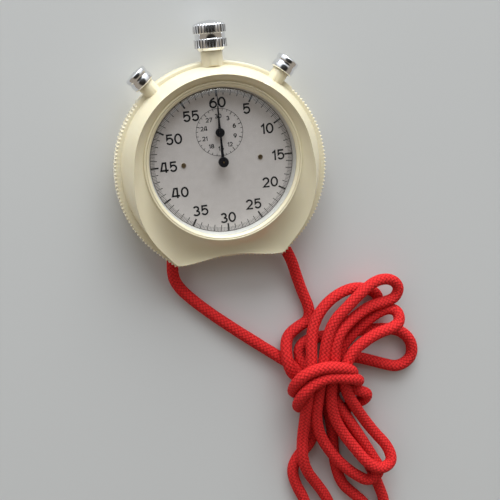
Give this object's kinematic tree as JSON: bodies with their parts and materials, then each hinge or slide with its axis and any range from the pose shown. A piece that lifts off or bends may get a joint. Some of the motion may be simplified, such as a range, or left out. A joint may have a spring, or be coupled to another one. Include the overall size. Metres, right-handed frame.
{
  "type": "mechanical stopwatch",
  "caption": "Hand-held mechanical stopwatch: round knurled plastic case, crown, angled pushers, seconds and minute hands, lever movement and a looped wrist cord.",
  "frame": {"origin": "seconds-hand axis in the plane of the flat case back", "axes": "+Z out of the dial, +Y towards the crown (60 on the dial), +X towards 15 on the dial"},
  "size_m": [0.0884, 0.1768, 0.0157],
  "materials": {
    "case_plastic": "glossy, warm ivory",
    "crystal_clear": "clear acrylic",
    "gasket_rubber": "matt",
    "dial_white": "satin silvery white with black print",
    "screw_brass": "aged",
    "hand_black": "satin black",
    "chrome": "polished, fluted",
    "steel": "grained",
    "brass": "gilt, fine matt",
    "jewel_red": "polished synthetic ruby",
    "cord_red": "braided round cord"
  },
  "bodies": {
    "root": {"front_case": "case_plastic", "back_case": "case_plastic", "crystal_ring": "case_plastic", "movement_ring": "case_plastic", "crystal": "crystal_clear", "crystal_gasket": "gasket_rubber", "dial": "dial_white", "dial_screws": "screw_brass", "crown_spring": "steel", "left_pusher_spring": "steel", "right_pusher_spring": "steel", "crown_wheel_core": "steel", "click_spring": "steel", "regulator": "steel", "lever_posts": "steel", "bridge_screws": "steel", "case_screws": "steel", "mainplate": "brass", "barrel_bridge": "brass", "train_bridge": "brass", "balance_cock": "brass", "pivot_jewels": "jewel_red", "lanyard_inner_run": "cord_red", "lanyard_lead_left": "cord_red", "lanyard_lead_right": "cord_red", "lanyard_hank": "cord_red"},
    "crown_slider": {"stem_sleeve": "steel"},
    "crown": {"crown_cap": "chrome", "winding_stem": "steel", "winding_pinion": "steel"},
    "left_pusher": {"left_pusher_cap": "chrome", "left_pusher_stem": "steel"},
    "right_pusher": {"right_pusher_cap": "chrome", "right_pusher_stem": "steel"},
    "sweep": {"fourth_wheel": "brass", "seconds_heart": "steel", "seconds_hand": "hand_black"},
    "third": {"third_wheel": "brass"},
    "second": {"second_wheel": "brass"},
    "barrel": {"barrel_drum": "brass", "mainspring": "steel"},
    "escape": {"escape_wheel": "steel"},
    "intermediate": {"recorder_intermediate_wheel": "brass"},
    "minute": {"minute_wheel": "brass", "minute_heart": "steel", "minute_hand": "hand_black"},
    "winding_wheel": {"crown_wheel": "steel"},
    "winding_arbor": {"barrel_arbor": "steel", "ratchet_wheel": "steel"},
    "start_lever": {"operating_lever": "steel"},
    "column": {"column_wheel": "steel"},
    "hammer": {"reset_hammer": "steel"},
    "brake": {"brake_lever": "steel"},
    "click": {"click": "steel"},
    "pallets": {"pallet_fork": "steel"},
    "balance": {"balance_wheel": "brass", "balance_staff": "steel", "hairspring": "steel"}
  },
  "joints": [
    {"name": "crown_press", "type": "slide", "parent": "root", "child": "crown_slider", "axis": [0, -1, 0], "range_m": [0, 0.001], "stiffness_N_per_m": 1500, "springref_m": -0.0006, "deforming": ["crown_spring"]},
    {"name": "left_pusher_press", "type": "slide", "parent": "root", "child": "left_pusher", "axis": [0.6361, -0.7716, 0], "range_m": [0, 0.0015], "stiffness_N_per_m": 1000, "springref_m": -0.0006, "deforming": ["left_pusher_spring"]},
    {"name": "right_pusher_press", "type": "slide", "parent": "root", "child": "right_pusher", "axis": [-0.6361, -0.7716, 0], "range_m": [0, 0.0015], "stiffness_N_per_m": 1000, "springref_m": -0.0006, "deforming": ["right_pusher_spring"]},
    {"name": "crown_turn", "type": "hinge", "parent": "crown_slider", "child": "crown", "pos_m": [0, 0.03, 0.0087], "axis": [0, 1, 0], "continuous": true},
    {"name": "seconds_spin", "type": "hinge", "parent": "root", "child": "sweep", "pos_m": [0, 0, 0.008], "axis": [0, 0, -1], "continuous": true},
    {"name": "third_spin", "type": "hinge", "parent": "root", "child": "third", "pos_m": [-0.00507, -0.00185, 0.004], "axis": [0, 0, -1], "continuous": true},
    {"name": "second_spin", "type": "hinge", "parent": "root", "child": "second", "pos_m": [-0.00928, 0.00236, 0.004], "axis": [0, 0, -1], "continuous": true},
    {"name": "barrel_spin", "type": "hinge", "parent": "root", "child": "barrel", "pos_m": [-0.00719, 0.01018, 0.004], "axis": [0, 0, -1], "continuous": true},
    {"name": "escape_spin", "type": "hinge", "parent": "root", "child": "escape", "pos_m": [0.00264, -0.00457, 0.004], "axis": [0, 0, -1], "continuous": true},
    {"name": "intermediate_spin", "type": "hinge", "parent": "root", "child": "intermediate", "pos_m": [0.00069, 0.00386, 0.008], "axis": [0, 0, -1], "continuous": true},
    {"name": "minute_spin", "type": "hinge", "parent": "root", "child": "minute", "pos_m": [0, 0.008, 0.008], "axis": [0, 0, -1], "continuous": true},
    {"name": "crown_wheel_spin", "type": "hinge", "parent": "root", "child": "winding_wheel", "pos_m": [0, 0.013, 0.008], "axis": [0, 0, 1], "continuous": true},
    {"name": "ratchet_spin", "type": "hinge", "parent": "root", "child": "winding_arbor", "pos_m": [-0.00719, 0.01018, 0.008], "axis": [0, 0, 1], "continuous": true},
    {"name": "start_lever_swing", "type": "hinge", "parent": "root", "child": "start_lever", "pos_m": [0.0062, 0.0156, 0.008], "axis": [0, 0, 1], "range_deg": [0, 9.3]},
    {"name": "column_wheel_step", "type": "hinge", "parent": "root", "child": "column", "pos_m": [0.007, 0.0095, 0.008], "axis": [0, 0, -1], "continuous": true},
    {"name": "hammer_swing", "type": "hinge", "parent": "root", "child": "hammer", "pos_m": [0.0078, -0.0068, 0.008], "axis": [0, 0, 1], "range_deg": [0, 8.4]},
    {"name": "brake_swing", "type": "hinge", "parent": "root", "child": "brake", "pos_m": [-0.0145, -0.002, 0.008], "axis": [0, 0, -1], "range_deg": [0, 7]},
    {"name": "click_lift", "type": "hinge", "parent": "root", "child": "click", "pos_m": [-0.0128, 0.0128, 0.008], "axis": [0, 0, -1], "range_deg": [0, 6], "stiffness_Nm_per_rad": 0.002, "springref_deg": -2.86},
    {"name": "pallet_rock", "type": "hinge", "parent": "root", "child": "pallets", "pos_m": [0.0052, -0.00696, 0.0044], "axis": [0, 0, 1], "range_deg": [-4, 4]},
    {"name": "balance_swing", "type": "hinge", "parent": "root", "child": "balance", "pos_m": [0.009, -0.0105, 0.0035], "axis": [0, 0, 1], "range_deg": [-140, 140], "stiffness_Nm_per_rad": 0.000001}
  ],
  "couplings": [
    {"joint": "third_spin", "follows": "seconds_spin", "ratio": -0.125},
    {"joint": "second_spin", "follows": "seconds_spin", "ratio": 0.016667},
    {"joint": "barrel_spin", "follows": "seconds_spin", "ratio": -0.0020833},
    {"joint": "escape_spin", "follows": "seconds_spin", "ratio": -10},
    {"joint": "intermediate_spin", "follows": "seconds_spin", "ratio": -0.16667},
    {"joint": "minute_spin", "follows": "seconds_spin", "ratio": 0.033333},
    {"joint": "crown_wheel_spin", "follows": "crown_turn", "ratio": 0.28571},
    {"joint": "ratchet_spin", "follows": "crown_turn", "ratio": -0.23077},
    {"joint": "start_lever_swing", "follows": "crown_press", "rad_per_m": 161.29},
    {"joint": "hammer_swing", "follows": "right_pusher_press", "rad_per_m": 96.6},
    {"joint": "brake_swing", "follows": "left_pusher_press", "rad_per_m": 80.2}
  ]
}
